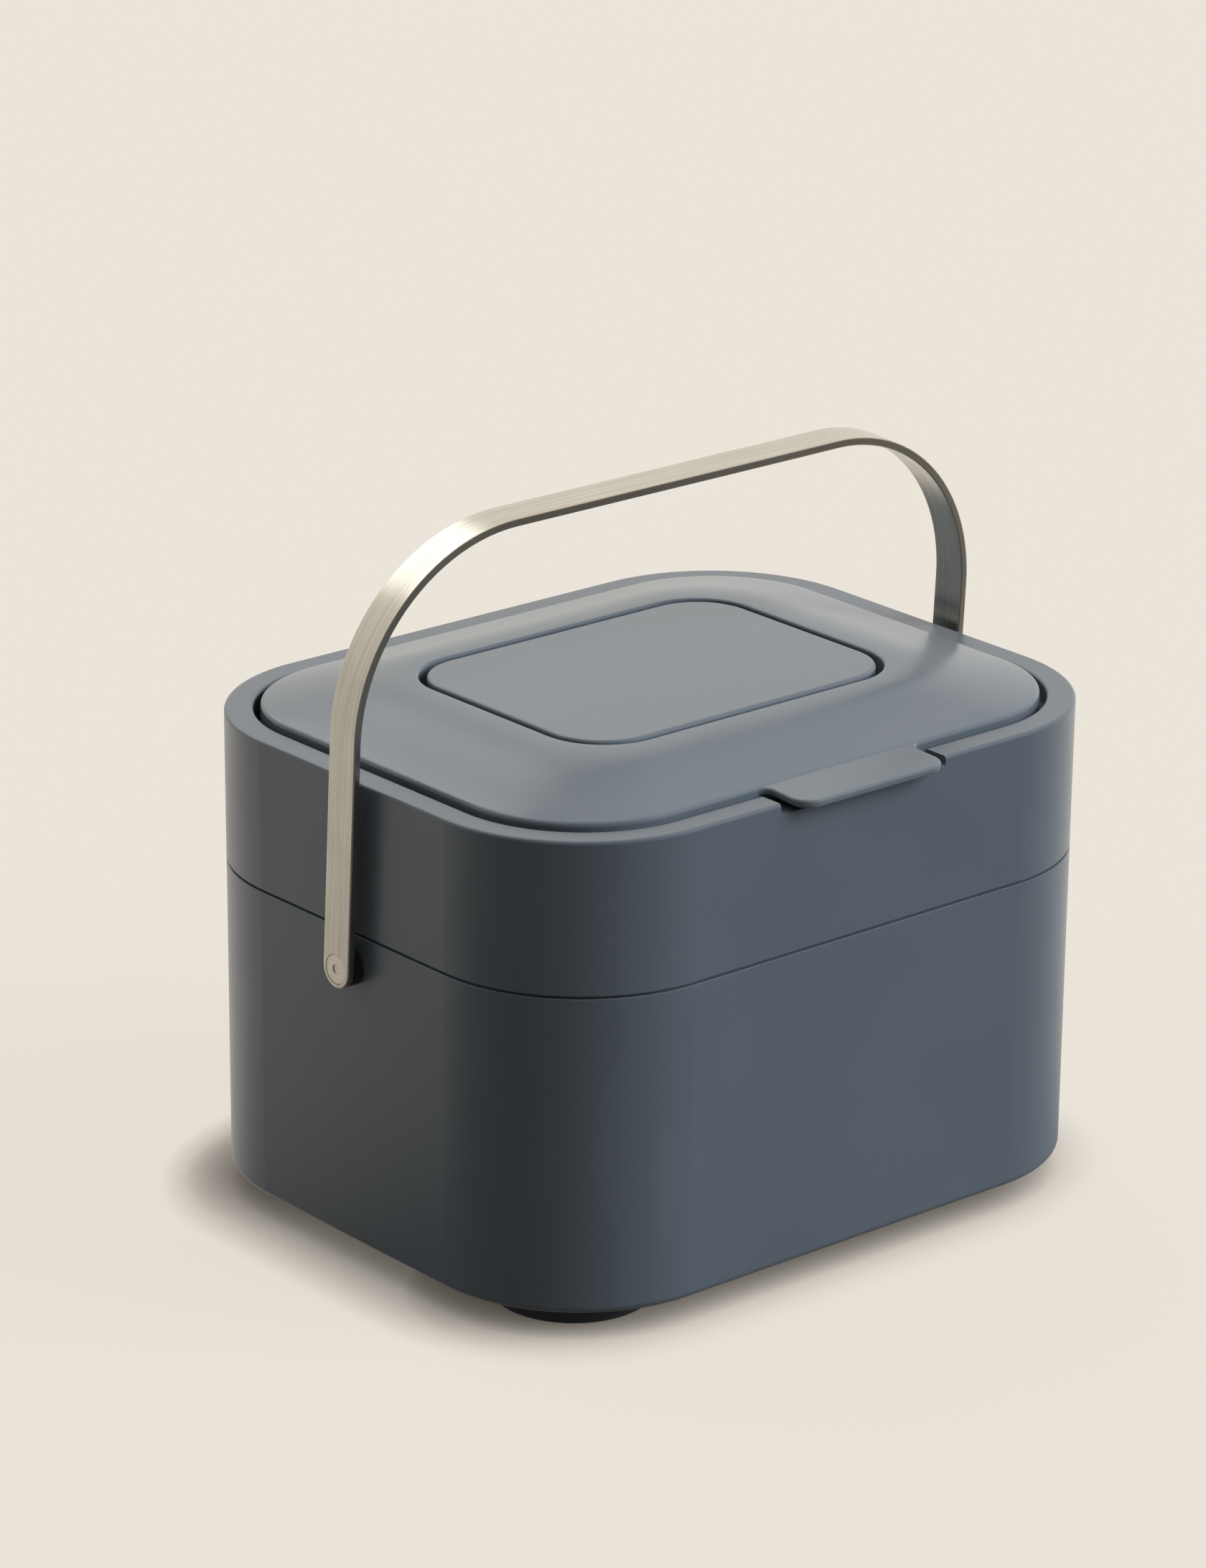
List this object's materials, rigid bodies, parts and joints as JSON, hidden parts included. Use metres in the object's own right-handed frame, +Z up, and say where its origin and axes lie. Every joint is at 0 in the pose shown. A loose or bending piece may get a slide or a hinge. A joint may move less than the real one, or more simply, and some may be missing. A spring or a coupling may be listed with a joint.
{
  "type": "food waste caddy",
  "caption": "Rounded-rectangular counter-top food waste caddy with a lift-off rim ring, a crowned hinged lid with a filter cover, and a flat steel strap handle.",
  "frame": {"origin": "middle of the bucket's plan, on the surface that the feet stand on", "axes": "+Z up, +X along the width to the right as seen from the front, -Y to the front with the finger tab"},
  "size_m": [0.2464, 0.1981, 0.2303],
  "materials": {
    "bucket_plastic": "satin moulded polypropylene",
    "ring_plastic": "satin moulded polypropylene",
    "lid_plastic": "satin moulded polypropylene",
    "cover_plastic": "satin moulded polypropylene",
    "filter_felt": "carbon felt",
    "pin_steel": "drawn",
    "strap_steel": "satin brushed along the strap",
    "rivet_steel": "satin turned",
    "foot_rubber": "matte",
    "spacer_plastic": "satin"
  },
  "bodies": {
    "bucket": {"bucket": "bucket_plastic", "foot_front_left": "foot_rubber", "foot_front_right": "foot_rubber", "foot_rear_left": "foot_rubber", "foot_rear_right": "foot_rubber", "rivet_left": "rivet_steel", "rivet_right": "rivet_steel", "pivot_spacer_left": "spacer_plastic", "pivot_spacer_right": "spacer_plastic", "rivet_washer_left": "rivet_steel", "rivet_washer_right": "rivet_steel"},
    "ring": {"rim_ring": "ring_plastic", "hinge_pin_left": "pin_steel", "hinge_pin_right": "pin_steel"},
    "lid": {"lid": "lid_plastic", "filter_pad": "filter_felt"},
    "cover": {"filter_cover": "cover_plastic"},
    "handle": {"handle": "strap_steel"}
  },
  "joints": [
    {"name": "ring_lift", "type": "slide", "parent": "bucket", "child": "ring", "axis": [0, 0, 1], "range_m": [0, 0.012]},
    {"name": "lid_hinge", "type": "hinge", "parent": "ring", "child": "lid", "pos_m": [0, 0.078, 0.1559], "axis": [-1, 0, 0], "range_deg": [0, 90]},
    {"name": "cover_lift", "type": "slide", "parent": "lid", "child": "cover", "axis": [0, 0, 1], "range_m": [0, 0.02]},
    {"name": "handle_swing", "type": "hinge", "parent": "bucket", "child": "handle", "pos_m": [0, 0, 0.0981], "axis": [-1, 0, 0], "range_deg": [0, 105]}
  ],
  "couplings": [
    {"joint": "handle_swing", "follows": "lid_hinge", "ratio": 1.15}
  ]
}
